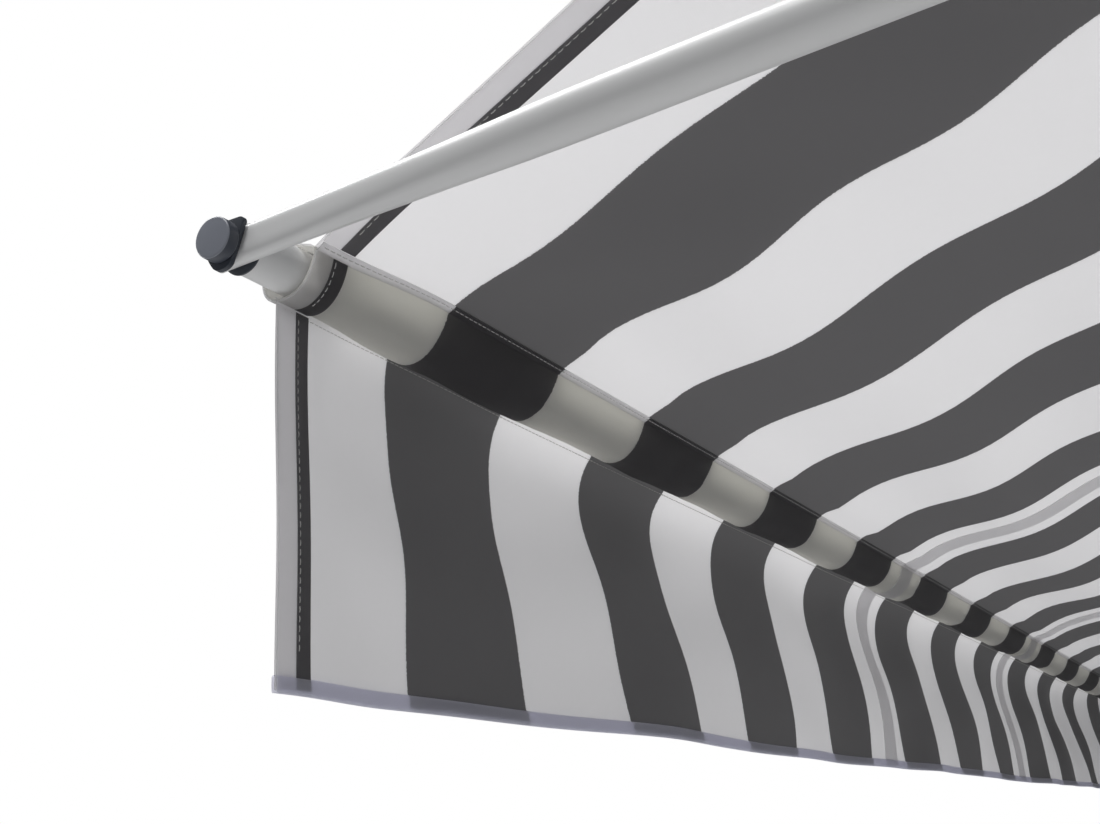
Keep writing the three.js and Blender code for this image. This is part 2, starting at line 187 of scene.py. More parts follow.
# Each function of the cloth's shape takes a place on the flat cloth, and some a lift off its face.
def canopyDip(x, s):
    folds = canopyFolds
    t = s / canopyLength
    inner = fromEnd(x)
    sag = 4 * cloth["sag"] * (1 - math.exp(-inner / cloth["sagReach"])) * t * (1 - t)
    first = (folds["firstFold"] - folds["endAdvance"] * (1 - ease(*folds["endAdvanceFade"], inner))
             + folds["wander"] * wave(0.9, x, 1.0))
    strength = (folds["height"] * ease(0.01, 0.2, inner) * ease(0.0, 0.04, s)
                * math.exp(-s / folds["heightFade"]))
    spacing = folds["spacing"] + folds["spacingWander"] * wave(0.7, x)
    ripple = strength * math.cos(2 * math.pi * (s - first) / spacing)
    broad = (folds["broadHeight"] * wave(folds["broadLength"], x, 0.6) * math.sin(math.pi * t)
             * ease(0.02, 0.3, inner))
    crease = folds["creaseHeight"] * noise.noise(Vector((x * 5.0, s * 11.0, 3.7))) * ease(0.0, 0.05, s)
    return -sag + ripple + broad + crease


def seamShift(x):
    k = ease(0.0, seamPull["endReach"], fromEnd(x))
    return Vector((seamPull["out"] - seamPull["outLess"] * k, seamPull["downLess"] * k - seamPull["down"]))


def canopyPoint(x, s, lift=0.0):
    flat = canopyFolds["flatAtSeam"]
    dip = canopyDip(x, s) * (ease(-0.001, flat, s) if s < flat else 1)
    shift = seamShift(x) * math.exp(-max(0.0, s) / seamPull["fade"])
    point = seamPoint - clothDown * s + clothUp * (dip + lift)
    return Vector((x, point.y - shift.x, point.z + shift.y))


def hangPoint(x):
    k = ease(*valanceCut["hangFade"], fromEnd(x))
    end, mid = valanceCut["endHang"], valanceCut["midHang"]
    return end[0] + (mid[0] - end[0]) * k, end[1] + (mid[1] - end[1]) * k, k


def valanceOut(x, d):
    folds = valanceFolds
    start, _, k = hangPoint(x)
    inner = fromEnd(x)
    d = max(0.0, d)
    fullness = (valanceCut["endBulge"]
                + (valanceCut["bulge"] - valanceCut["endBulge"]) * ease(*folds["bulgeFade"], inner))
    bulge = fullness * (d / folds["bulgeDepth"]) * math.exp(1 - d / folds["bulgeDepth"])
    tail = ((folds["tailOut"] * ease(*folds["tailFade"], inner) - folds["tailIn"])
            * (d / folds["tailDepth"]) ** 1.5)
    sway = folds["swayHeight"] * wave(folds["swayLength"], x, 2.0) * (d / folds["tailDepth"])
    rippleLength = folds["rippleLength"] + folds["rippleWander"] * wave(1.1, x)
    ripple = (folds["rippleHeight"] * wave(rippleLength, x, 0.7 + 4 * d)
              * math.sin(math.pi * min(1, d / folds["rippleDepth"])))
    fold = folds["foldHeight"] * wave(folds["foldLength"], d, 1.4 + 3.2 * wave(0.8, x)) * ease(0.03, 0.1, d)
    crease = folds["creaseHeight"] * noise.noise(Vector((x * 7.0, d * 16.0, 9.1))) * ease(0.0, 0.04, d)
    edge = folds["edgeHeight"] * wave(folds["edgeLength"], d)
    return start + k * (bulge + tail + sway + ripple + fold + crease) + edge


def valancePoint(x, d, lift=0.0):
    _, top, _ = hangPoint(x)
    step = valanceFolds["slopeStep"]
    slope = (valanceOut(x, d + step) - valanceOut(x, max(0.0, d - step))) / (2 * step)
    tilt = math.atan(slope)
    out = valanceOut(x, d) + lift * math.cos(tilt)
    fall = d * (valanceCut["level"] + top) / valanceCut["drop"]
    return Vector((x, barAxis.y - out, barAxis.z + top - fall + lift * math.sin(tilt)))


def bezier(points, t):
    a, b, c, d = points
    u = 1 - t
    return a * u ** 3 + b * 3 * u * u * t + c * 3 * u * t * t + d * t ** 3


def pocketHandle(name, k):
    atEnd, further = pocketShape[name]
    return Vector(atEnd).lerp(Vector(further), k)


# The pocket starts at its upper seam, goes under the bar to the lower seam and back over the top.
def pocketPoint(x, q, lift=0.0):
    out, up, k = hangPoint(x)
    seam = Vector((-cloth["pocketReach"] * math.cos(cloth["slope"]),
                   cloth["pocketReach"] * math.sin(cloth["slope"])))
    seam += seamShift(x)
    hang = Vector((out, up))
    under = [seam, pocketHandle("underFirst", k), pocketHandle("underLast", k), hang]
    over = [hang, pocketHandle("overFirst", k), pocketHandle("overLast", k), seam]
    q = q % 1.0
    curve, t = (under, q * 2) if q < 0.5 else (over, q * 2 - 1)
    at = bezier(curve, t)
    step = pocketShape["alongStep"]
    before, after = bezier(curve, max(0, t - step)), bezier(curve, min(1, t + step))
    along = (after - before).normalized()
    face = Vector((-along.y, along.x)) * -1
    loose = math.sin(math.pi * t)
    pucker = (noise.noise(Vector((x * 21.0, q * 2.6, 1.3))) * pocketShape["puckerHeight"]
              + noise.noise(Vector((x * 60.0, q * 5.0, 7.7))) * pocketShape["finePuckerHeight"])
    slack = pocketShape["slackHeight"] * wave(pocketShape["slackLength"], x, 0.5 + 2.4 * q)
    share = pocketShape["endShare"] + (1 - pocketShape["endShare"]) * k
    at = at + face * (loose * (pucker + slack + pocketShape["looseness"]) * share)
    clear = barRadius + pocketShape["barGap"]
    if at.length < clear:
        at = at.normalized() * clear
    at = at + face * lift
    return Vector((x, barAxis.y - at.x, barAxis.z + at.y))


def clearSelection():
    if bpy.context.object and bpy.context.object.mode != "OBJECT":
        bpy.ops.object.mode_set(mode="OBJECT")
    bpy.ops.object.select_all(action="DESELECT")


def only(obj):
    clearSelection()
    obj.select_set(True)
    bpy.context.view_layer.objects.active = obj


def applyPlace(obj):
    only(obj)
    bpy.ops.object.transform_apply(location=True, rotation=True, scale=True)


def modify(obj, kind, **settings):
    only(obj)
    modifier = obj.modifiers.new(kind.title(), kind)
    for key, value in settings.items():
        setattr(modifier, key, value)
    bpy.ops.object.modifier_apply(modifier=modifier.name)


def finishPiece(obj, name, material, angle=35):
    obj.name = name
    obj.data.name = name
    applyPlace(obj)
    obj.data.materials.clear()
    obj.data.materials.append(material)
    bpy.ops.object.shade_smooth_by_angle(angle=math.radians(angle))
    return obj


def mergeDoubles(obj, outward=False):
    only(obj)
    bpy.ops.object.mode_set(mode="EDIT")
    bpy.ops.mesh.select_all(action="SELECT")
    bpy.ops.mesh.remove_doubles(threshold=1e-6)
    if outward:
        bpy.ops.mesh.normals_make_consistent(inside=False)
    bpy.ops.object.mode_set(mode="OBJECT")


def softenEdges(obj, width, segments):
    modify(obj, "BEVEL", width=width, segments=segments, limit_method="ANGLE",
           angle_limit=math.radians(50))


def clothLayer(mesh):
    layer = mesh.uv_layers[0] if mesh.uv_layers else mesh.uv_layers.new(name="clothFlat")
    layer.name = "clothFlat"
    return layer


# A grid laid on the cloth: across and down are its ranges there, and place gives each point.
def clothStrip(name, material, place, across, down, cells, thickness=None, closed=False):
    clearSelection()
    bpy.ops.mesh.primitive_grid_add(x_subdivisions=cells[0], y_subdivisions=cells[1], size=1)
    obj = bpy.context.object
    mesh = obj.data
    flat = []
    for vertex in mesh.vertices:
        p = vertex.co.x + 0.5
        q = vertex.co.y + 0.5
        flat.append((across[0] + (across[1] - across[0]) * p, down[0] + (down[1] - down[0]) * q))
    for vertex, (x, v) in zip(mesh.vertices, flat):
        vertex.co = place(x, v)
    layer = clothLayer(mesh)
    for loop in mesh.loops:
        x, v = flat[loop.vertex_index]
        layer.data[loop.index].uv = (clothRight - x, v)
    if closed:
        mergeDoubles(obj)
    modify(obj, "SOLIDIFY", thickness=thickness or cloth["thickness"], offset=0.0)
    return finishPiece(obj, name, material, 60)


# A row of stitches, each a short round thread that dips into the cloth at its ends.
stitch = {"length": 0.0031, "pitch": 0.0047, "radius": 0.00026, "dip": 1.2}


def stitchRow(name, material, place, length):
    clearSelection()
    count = int(length / stitch["pitch"])
    bpy.ops.mesh.primitive_cylinder_add(vertices=6, radius=stitch["radius"],
                                        depth=stitch["length"], rotation=(0, math.pi / 2, 0))
    obj = bpy.context.object
    applyPlace(obj)
    only(obj)
    bpy.ops.object.mode_set(mode="EDIT")
    bpy.ops.mesh.select_all(action="SELECT")
    bpy.ops.mesh.subdivide(number_cuts=1)
    bpy.ops.object.mode_set(mode="OBJECT")
    for vertex in obj.data.vertices:
        bend = (abs(vertex.co.x) / (stitch["length"] / 2)) ** 2
        vertex.co.z -= bend * stitch["radius"] * stitch["dip"]
    modify(obj, "ARRAY", count=count, use_relative_offset=False, use_constant_offset=True,
           constant_offset_displace=(stitch["pitch"], 0, 0))
    for vertex in obj.data.vertices:
        along = vertex.co.x + stitch["pitch"] / 2
        vertex.co = place(along, vertex.co.y, vertex.co.z)
    mergeDoubles(obj, outward=True)
    return finishPiece(obj, name, material, 50)


# The white hem, its stitches and the overlap of two cloth widths, along one side of a piece of cloth.
def sideTrim(part, side, place, sizes):
    edge, inward = ends[side]
    facing = sizes["facing"]
    hemFar = edge + inward * cloth["hemWidth"]
    hem = clothStrip(f"{part}_hem_{side}", hemCloth, lambda x, v: place(x, v, facing * sizes["hemLift"]),
                     (min(edge, hemFar), max(edge, hemFar)), sizes["hemDown"], sizes["hemCells"])
    row = edge + inward * (cloth["hemWhite"] + cloth["stitchInset"])
    stitches = stitchRow(
        f"{part}_hem_stitches_{side}", seamThread,
        lambda a, b, c: place(row + b, sizes["stitchFrom"] + a / sizes["perUnit"],
                              facing * (sizes["stitchLift"] + c)),
        sizes["stitchLength"])
    joinStart = edge + inward * cloth["joinFrom"]
    joinEnd = joinStart + inward * cloth["joinWidth"]
    overlap = clothStrip(f"{part}_join_{side}", doubledCloth,
                         lambda x, v: place(x, v, facing * sizes["joinLift"]),
                         (min(joinStart, joinEnd), max(joinStart, joinEnd)),
                         sizes["joinDown"], sizes["joinCells"])
    return [hem, stitches, overlap]


# A shader value that takes part in Python sums by adding Math nodes.
class Number:
    def __init__(self, sheet, socket):
        self.sheet = sheet
        self.socket = socket

    def math(self, operation, other=None):
        values = [self] if other is None else [self, other]
        return self.sheet.add("Math", {"operation": operation}, dict(enumerate(values))).out(0)

    def __add__(self, other):
        return self.math("ADD", other)

    def __radd__(self, other):
        return self.math("ADD", other)

    def __sub__(self, other):
        return self.math("SUBTRACT", other)

    def __rsub__(self, other):
        return (self * -1).math("ADD", other)

    def __mul__(self, other):
        return self.math("MULTIPLY", other)

    def __rmul__(self, other):
        return self.math("MULTIPLY", other)

    def __truediv__(self, other):
        return self.math("DIVIDE", other)

    def above(self, other):
        return self.math("GREATER_THAN", other)

    def below(self, other):
        return self.math("LESS_THAN", other)


class Node:
    def __init__(self, sheet, node):
        self.sheet = sheet
        self.node = node

    def out(self, name):
        return Number(self.sheet, self.node.outputs[name])


class Finish:
    def __init__(self, name):
        self.material = bpy.data.materials.new(name)
        self.material.use_nodes = True
        self.tree = self.material.node_tree
        self.tree.nodes.clear()
        self.output = self.tree.nodes.new("ShaderNodeOutputMaterial")

    def add(self, kind, settings=None, inputs=None):
        node = self.tree.nodes.new("ShaderNode" + kind)
        for key, value in (settings or {}).items():
            setattr(node, key, value)
        for key, value in (inputs or {}).items():
            if isinstance(value, Number):
                self.tree.links.new(value.socket, node.inputs[key])
            else:
                node.inputs[key].default_value = value
        return Node(self, node)

    def mixColour(self, factor, a, b):
        node = self.add("Mix", {"data_type": "RGBA"})
        for index, value in ((0, factor), (6, a), (7, b)):
            if isinstance(value, Number):
                self.tree.links.new(value.socket, node.node.inputs[index])
            else:
                node.node.inputs[index].default_value = value
        return node.out(2)

    def show(self, shader):
        self.tree.links.new(shader.socket, self.output.inputs["Surface"])
        return self.material


def grain(finish, scale, detail, roughness, vector):
    inputs = {"Scale": scale, "Detail": detail, "Roughness": roughness, "Vector": vector}
    return finish.add("TexNoise", {}, inputs).out("Fac")


clothLooks = {
    "white": (0.83, 0.825, 0.835, 1),
    "dark": (0.060, 0.056, 0.062, 1),
    "lightThroughWhite": 0.70,
    "lightThroughDark": 0.24,
    "throughColour": (0.93, 0.925, 0.93, 1),
    "threadPitch": 0.0011,
    "stripeFray": 0.012,
    "mottle": 0.05,
    "fineMottle": 0.05,
    "weaveShade": 0.012,
    "weaveHeight": 0.00006,
    "fineHeight": 0.0001,
    "roughness": 0.82,
    "sheen": 0.12,
}


# Woven polyester, striped along the flat cloth. Where two layers lie together its colour is darkened as
# painted shade for the light they let through less, and less light goes through.
def clothFinish(name, overlapShade=0.0, hem=None, light=clothLooks["lightThroughWhite"], crease=0.0009,
                through=clothLooks["throughColour"]):
    f = Finish(name)
    flat = f.add("UVMap", {"uv_map": "clothFlat"}).out("UV")
    parts = f.add("SeparateXYZ", {}, {"Vector": flat})
    across, along = parts.out("X"), parts.out("Y")
    position = f.add("TexCoord").out("Object")
    fray = grain(f, 900.0, 1.0, 0.5, position)
    count = (across - cloth["edgeStripe"]) / cloth["stripe"] + (fray - 0.5) * clothLooks["stripeFray"]
    inside = count.above(0.0) * count.below(float(cloth["innerStripes"]))
    stripes = (count / 2).math("FRACT").below(0.5) * inside
    if hem is not None:
        width = clothHalf * 2
        fromRight = across.below(clothHalf)
        inward = across * fromRight + (width - across) * (1 - fromRight)
        stripes = inward.above(hem)
    mottle = grain(f, 9.0, 4.0, 0.6, position)
    fine = grain(f, 260.0, 2.0, 0.6, position)
    turns = 2 * math.pi / clothLooks["threadPitch"]
    warp = (across * turns).math("SINE")
    weft = (along * turns).math("SINE")
    weave = warp * weft
    # Painted shade: the overlap's darker colour stands in for less light coming through two layers.
    shade = (1 - overlapShade + (mottle - 0.5) * clothLooks["mottle"] + (fine - 0.5) * clothLooks["fineMottle"]
             + weave * clothLooks["weaveShade"])
    base = f.mixColour(stripes, clothLooks["white"], clothLooks["dark"])
    shadeColour = f.add("CombineXYZ", {}, {"X": shade, "Y": shade, "Z": shade}).out(0)
    tinted = f.add("VectorMath", {"operation": "MULTIPLY"}, {0: base, 1: shadeColour}).out(0)
    creases = grain(f, 22.0, 3.0, 0.6, position)
    height = weave * clothLooks["weaveHeight"] + fine * clothLooks["fineHeight"] + creases * crease
    bump = f.add("Bump", {}, {"Strength": 0.5, "Distance": 1.0, "Height": height}).out(0)
    front = f.add("BsdfPrincipled", {}, {
        "Base Color": tinted, "Roughness": clothLooks["roughness"], "Specular IOR Level": 0.25,
        "Sheen Weight": clothLooks["sheen"], "Normal": bump}).out(0)
    lit = f.add("BsdfTranslucent", {}, {"Color": through}).out(0)
    drop = light - clothLooks["lightThroughDark"]
    share = (light - stripes * drop) * (1 - overlapShade * 0.4)
    return f.show(f.add("MixShader", {}, {0: share, 1: front, 2: lit}).out(0))


def threadFinish():
    f = Finish("seamThread")
    position = f.add("TexCoord").out("Object")
    tone = grain(f, 700.0, 2.0, 0.5, position)
    colour = f.mixColour(tone, (0.50, 0.49, 0.48, 1), (0.78, 0.77, 0.75, 1))
    bump = f.add("Bump", {}, {"Strength": 0.4, "Distance": 0.0002, "Height": tone}).out(0)
    return f.show(f.add("BsdfPrincipled", {}, {
        "Base Color": colour, "Roughness": 0.75, "Normal": bump}).out(0))


# Paint, plastic or metal with faint cloudiness and a fine texture. The last colour pales the face at the
# awning's end as a painted sheen.
def solidFinish(name, colour, second, roughness, metallic=0.0, coat=0.0, textureScale=400.0,
                texture=0.00004, paintedSheen=None):
    sheenDepth = 0.0006
    roughSpread = 0.12
    f = Finish(name)
    position = f.add("TexCoord").out("Object")
    cloud = grain(f, 14.0, 4.0, 0.6, position)
    fine = grain(f, textureScale, 2.0, 0.5, position)
    tone = f.mixColour(cloud, (*colour, 1), (*second, 1))
    # Painted sheen: the outer end face is paled towards the given colour in place of a reflection.
    if paintedSheen:
        across = f.add("SeparateXYZ", {}, {"Vector": position}).out("X")
        outer = (across - clothMiddle).math("ABSOLUTE")
        face = outer.above(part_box("end_cap_right")[1][0] - clothMiddle - sheenDepth)
        tone = f.mixColour(face * (cloud * 0.5 + 0.65), tone, (*paintedSheen, 1))
    rough = cloud * roughSpread + (roughness - roughSpread / 2) + (fine - 0.5) * (roughSpread / 2)
    bump = f.add("Bump", {}, {"Strength": 0.6, "Distance": 1.0, "Height": fine * texture}).out(0)
    return f.show(f.add("BsdfPrincipled", {}, {
        "Base Color": tone, "Roughness": rough, "Metallic": metallic,
        "Coat Weight": coat, "Coat Roughness": 0.2, "Normal": bump}).out(0))


def bindingFinish():
    f = Finish("clearBinding")
    position = f.add("TexCoord").out("Object")
    cloud = grain(f, 30.0, 3.0, 0.6, position)
    colour = f.mixColour(cloud, (0.84, 0.84, 0.93, 1), (0.88, 0.88, 0.95, 1))
    bump = f.add("Bump", {}, {"Strength": 0.3, "Distance": 0.0006, "Height": cloud}).out(0)
    front = f.add("BsdfPrincipled", {}, {
        "Base Color": colour, "Roughness": 0.32, "Alpha": 0.75, "Coat Weight": 0.3,
        "Normal": bump}).out(0)
    through = f.add("BsdfTranslucent", {}, {"Color": (0.93, 0.93, 0.98, 1)}).out(0)
    share = cloud * 0.05 + 0.62
    return f.show(f.add("MixShader", {}, {0: share, 1: front, 2: through}).out(0))


whitePaint = solidFinish("whitePowderCoat", (0.83, 0.83, 0.83), (0.79, 0.79, 0.79), 0.36, coat=0.15,
                         textureScale=1100.0, texture=0.00003)
zincSteel = solidFinish("zincPlatedSteel", (0.62, 0.63, 0.65), (0.48, 0.49, 0.52), 0.34,
                        metallic=1.0)
# The cap's paler end face is a painted sheen, a reflection painted into its colour.
capPlastic = solidFinish("slateCapPlastic", (0.062, 0.070, 0.090), (0.075, 0.084, 0.106), 0.36,
                         textureScale=900.0, paintedSheen=(0.27, 0.285, 0.33))
darkPlastic = solidFinish("slatePlastic", (0.040, 0.047, 0.062), (0.050, 0.058, 0.074), 0.42,
                          textureScale=900.0)
greyPlastic = solidFinish("greyPlastic", (0.24, 0.25, 0.27), (0.29, 0.30, 0.32), 0.5,
                          textureScale=800.0)
brassAlloy = solidFinish("brassAlloy", (0.55, 0.38, 0.14), (0.45, 0.30, 0.11), 0.35, metallic=1.0)
stripedCloth = clothFinish("stripedCloth")
# The overlaps' darker colour is painted shade.
doubledCloth = clothFinish("doubledCloth", overlapShade=0.09)
sleeveCloth = clothFinish("sleeveCloth", crease=0.0030, light=0.76, through=(0.93, 0.925, 0.895, 1))
hemCloth = clothFinish("hemCloth", hem=cloth["hemWhite"], light=0.86)
seamThread = threadFinish()
clearBinding = bindingFinish()
print("finishes made")


def spread(obj):
    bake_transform(obj)


canopy = {
    "cells": (220, 120),
    "tuck": -0.001,
    "spare": 1.02,
    "facing": -1,  # the trim lies on the underside
    "hemLift": 0.0011,
    "hemDown": (0.0045, canopyLength),
    "hemCells": (6, 120),
    "stitchLift": 0.00165,
    "stitchFrom": 0.014,
    "stitchLength": canopyLength - 0.02,
    "perUnit": 1.0,
    "joinLift": 0.0010,
    "joinDown": (0.0, canopyLength),
    "joinCells": (8, 120),
}
canopyCloth = clothStrip("canopy_cloth", stripedCloth, canopyPoint, (clothLeft, clothRight),
                         (canopy["tuck"], canopyLength), canopy["cells"])
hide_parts("canopy")
spread(canopyCloth)

canopyTrim = []
for side in ends:
    canopyTrim += sideTrim("canopy", side, canopyPoint, canopy)
for piece in canopyTrim:
    spread(piece)
print("canopy made")

pocket = {
    "cells": (560, 36),
    "flatRound": 0.112,
    "flapInset": 0.001,
    "flapDown": (-0.001, 0.0042),
    "flapLift": 0.0013,
    "seamInset": 0.002,
    "seamDown": 0.0022,
    "seamLift": 0.0019,
    "facing": 1,
    "hemLift": 0.0009,
    "hemDown": (0.015, 0.985),
    "hemCells": (6, 44),
    "stitchLift": 0.0014,
    "stitchFrom": 0.02,
    "stitchLength": 0.036,
    "perUnit": 0.1,  # length round the pocket that counts as one turn of the section
    "joinLift": 0.0008,
    "joinDown": (0.01, 0.99),
    "joinCells": (12, 44),
}
pocketCloth = clothStrip("pocket_cloth", sleeveCloth, pocketPoint, (clothLeft, clothRight),
                         (0.0, 1.0), pocket["cells"], closed=True)
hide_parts("bar_pocket")
pocketTrim = [
    clothStrip("pocket_flap", doubledCloth, lambda x, v: canopyPoint(x, v, -pocket["flapLift"]),
               (clothLeft + pocket["flapInset"], clothRight - pocket["flapInset"]),
               pocket["flapDown"], (400, 2)),
    stitchRow("pocket_stitches", seamThread,
              lambda a, b, c: canopyPoint(clothLeft + pocket["seamInset"] + a, pocket["seamDown"] + b,
                                          -pocket["seamLift"] - c),
              2 * clothHalf - 2 * pocket["seamInset"]),
]
for side in ends:
    pocketTrim += sideTrim("pocket", side, pocketPoint, pocket)
for piece in [pocketCloth] + pocketTrim:
    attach(piece, "arms")
print("bar pocket made")

hanging = {
    "cells": (460, 46),
    "tuck": -0.001,
    "seamInset": 0.002,
    "seamDown": 0.0045,
    "seamLift": 0.0012,
    "facing": -1,
    "hemLift": 0.0011,
    "hemDown": (0.003, valanceCut["drop"] - 0.001),
    "hemCells": (6, 44),
    "stitchLift": 0.0016,
    "stitchFrom": 0.006,
    "stitchLength": valanceCut["drop"] - 0.02,
    "perUnit": 1.0,
    "joinLift": 0.0010,
    "joinDown": (0.0, valanceCut["drop"] - 0.001),
    "joinCells": (10, 44),
}
valanceCloth = clothStrip("valance_cloth", stripedCloth, valancePoint, (clothLeft, clothRight),
                          (hanging["tuck"], valanceCut["drop"]), hanging["cells"])
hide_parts("valance")
valanceTrim = [
    stitchRow("valance_stitches", seamThread,
              lambda a, b, c: valancePoint(clothLeft + hanging["seamInset"] + a, hanging["seamDown"] + b,
                                           -hanging["seamLift"] - c),
              2 * clothHalf - 2 * hanging["seamInset"]),
]
for side in ends:
    valanceTrim += sideTrim("valance", side, valancePoint, hanging)

binding = {"half": 0.0016, "overhang": 0.0012, "squareness": 0.35, "wall": 0.0003, "cells": (460, 16)}


def squared(value):
    return math.copysign(abs(value) ** binding["squareness"], value)


# The binding is a flat tube of clear plastic folded over the valance's lower edge.
def bindingPoint(x, q):
    angle = 2 * math.pi * q
    across = binding["half"] * squared(math.cos(angle))
    middle = valanceCut["drop"] - valanceCut["binding"] / 2 + binding["overhang"]
    down = middle + valanceCut["binding"] / 2 * squared(math.sin(angle))
    return valancePoint(x, down, across)


edgeBinding = clothStrip("valance_binding", clearBinding, bindingPoint, (clothLeft, clothRight),
                         (0.0, 1.0), binding["cells"], thickness=binding["wall"], closed=True)
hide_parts("edge_binding")
for piece in [valanceCloth] + valanceTrim:
    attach(piece, "hanging_valance")
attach(edgeBinding, "hanging_valance")
print("valance made")

arm = {
    "radius": 0.011,
    "flatX": 0.005,
    "flatZ": 0.009,
    "wall": 0.0015,
    "length": 1.2,
    "over": 0.010,
    "flatUntil": 0.018,
    "roundFrom": 0.19,
    "pressShare": 0.8,
    "drop": math.radians(2.5),
    "steps": 14,
    "sides": 48,
}
tubeEdge = 0.0004


# Rings are extruded one after another along the tube and scaled where the ends are pressed flat.
def ringTube(stations):
    clearSelection()
    bpy.ops.mesh.primitive_circle_add(vertices=arm["sides"], radius=1, fill_type="NOTHING",
                                      rotation=(math.pi / 2, 0, 0))
    obj = bpy.context.object
    applyPlace(obj)
    first = stations[0]
    for vertex in obj.data.vertices:
        vertex.co = Vector((vertex.co.x * first[1], -first[0], vertex.co.z * first[2]))
    only(obj)
    bpy.ops.object.mode_set(mode="EDIT")
    bpy.ops.mesh.select_all(action="SELECT")
    for before, after in zip(stations, stations[1:]):
        move = (0, before[0] - after[0], 0)
        bpy.ops.mesh.extrude_edges_move(TRANSFORM_OT_translate={"value": move})
        bpy.ops.transform.resize(value=(after[1] / before[1], 1, after[2] / before[2]),
                                 center_override=(0, -after[0], 0))
    bpy.ops.object.mode_set(mode="OBJECT")
    mergeDoubles(obj, outward=True)
    return obj


def armStations():
    stations = []
    for i in range(arm["steps"] + 1):
        t = i / arm["steps"]
        reach = arm["flatUntil"] + t * (arm["roundFrom"] - arm["flatUntil"])
        k = ease(0, 1, t)
        stations.append((reach, arm["flatX"] + (arm["radius"] - arm["flatX"]) * k,
                         arm["flatZ"] + (arm["radius"] - arm["flatZ"]) * k))
    start = [(-arm["over"], arm["flatX"], arm["flatZ"])] + stations
    finish = [(arm["length"] - reach, halfX, halfZ) for reach, halfX, halfZ in reversed(start)]
    return start + finish


# The press leaves flat faces on the ends, with round edges.
def flatten(obj):
    thinnest = 0.0003
    for vertex in obj.data.vertices:
        reach = -vertex.co.y
        near = min(reach, arm["length"] - reach)
        pressed = 1 - ease(arm["flatUntil"], arm["roundFrom"] * arm["pressShare"], near)
        ratio = abs(vertex.co.x) / arm["radius"]
        limit = arm["flatX"] + (arm["radius"] - arm["flatX"]) * (1 - pressed)
        edge = abs(vertex.co.z) / arm["flatZ"]
        if pressed > 0 and abs(vertex.co.x) > 1e-6:
            square = limit * min(1.0, (1 - edge ** 4) ** 0.5 if edge < 1 else 0.0)
            blended = abs(vertex.co.x) * (1 - pressed) + square * pressed
            vertex.co.x = math.copysign(max(blended, thinnest * ratio), vertex.co.x)


def ridePart(obj, name, material, slot, body, *nodes):
    finishPiece(obj, name, material, 40)
    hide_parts(*nodes)
    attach(obj, body)


def makeArm(side):
    node = f"arm_{side}"
    obj = ringTube(armStations())
    flatten(obj)
    modify(obj, "SOLIDIFY", thickness=arm["wall"], offset=-1.0)
    softenEdges(obj, tubeEdge, 2)
    pivot = middleOf(f"pivot_bolt_{side}")
    turn = Matrix.Rotation(arm["drop"], 4, "X")
    centre = middleOf(node)
    obj.data.transform(Matrix.Translation((centre.x, pivot.y, pivot.z)) @ turn)
    ridePart(obj, f"arm_tube_{side}", whitePaint, "white_paint", "arms", node)


for side in ends:
    makeArm(side)

barTube = {"wall": 0.0015, "sides": 64}
clearSelection()
bpy.ops.mesh.primitive_cylinder_add(vertices=barTube["sides"], radius=barRadius,
                                    depth=sizeOf("front_bar").x, end_fill_type="NOTHING",
                                    rotation=(0, math.pi / 2, 0), location=barCentre)
bar = bpy.context.object
applyPlace(bar)
mergeDoubles(bar, outward=True)
modify(bar, "SOLIDIFY", thickness=barTube["wall"], offset=-1.0)
softenEdges(bar, tubeEdge, 2)
ridePart(bar, "bar_tube", whitePaint, "white_paint", "arms", "front_bar")
print("tubes made")


def roundPart(centre, radius, depth, bevel):
    clearSelection()
    bpy.ops.mesh.primitive_cylinder_add(vertices=64, radius=radius, depth=depth,
                                        rotation=(0, math.pi / 2, 0), location=centre)
    obj = bpy.context.object
    applyPlace(obj)
    softenEdges(obj, bevel, 4)
    return obj


# The plate's outline around the bolt, in mm: square at the top towards the wall, a lobe at the bottom.
endPlate = {
    "curves": [
        ((12, 7.8), (12.2, 10.8), (9, 10.8)),
        ((9, 10.8), (3, 10.8), (-3, 10.8)),
        ((-3, 10.8), (-11, 10.8), (-11, 2)),
        ((-11, 2), (-10.8, -5), (-7.5, -9.5)),
        ((-7.5, -9.5), (-5.5, -13.3), (-2, -13.3)),
        ((-2, -13.3), (3.6, -13.4), (4.8, -10)),
        ((4.8, -10), (8.4, -1.1), (12, 7.8)),
    ],
    "points": 64,
    "edge": 0.00025,
}
endCap = {"edge": 0.0011}
collarRing = {"inset": 0.0007, "narrower": 0.0012, "depth": 0.0012, "edge": 0.0003}


def plateOutline():
    points = []
    for i in range(endPlate["points"]):
        part, t = divmod(i * len(endPlate["curves"]) / endPlate["points"], 1)
        a, b, c = (Vector(corner) / 1000 for corner in endPlate["curves"][int(part)])
        points.append(a * (1 - t) ** 2 + b * 2 * t * (1 - t) + c * t * t)
    return points


def makePlate(side, bolt):
    low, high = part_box(f"end_plate_{side}")
    outline = plateOutline()
    clearSelection()
    bpy.ops.mesh.primitive_cylinder_add(vertices=endPlate["points"], radius=1, depth=high[0] - low[0])
    plate = bpy.context.object
    applyPlace(plate)
    for index, vertex in enumerate(plate.data.vertices):
        out, up = outline[index // 2]
        vertex.co = Vector(((low[0] + high[0]) / 2 + vertex.co.z, bolt.y + out, bolt.z + up))
    mergeDoubles(plate, outward=True)
    softenEdges(plate, endPlate["edge"], 2)
    ridePart(plate, f"end_plate_{side}_moulded", darkPlastic, "dark_plastic", "arms", f"end_plate_{side}")


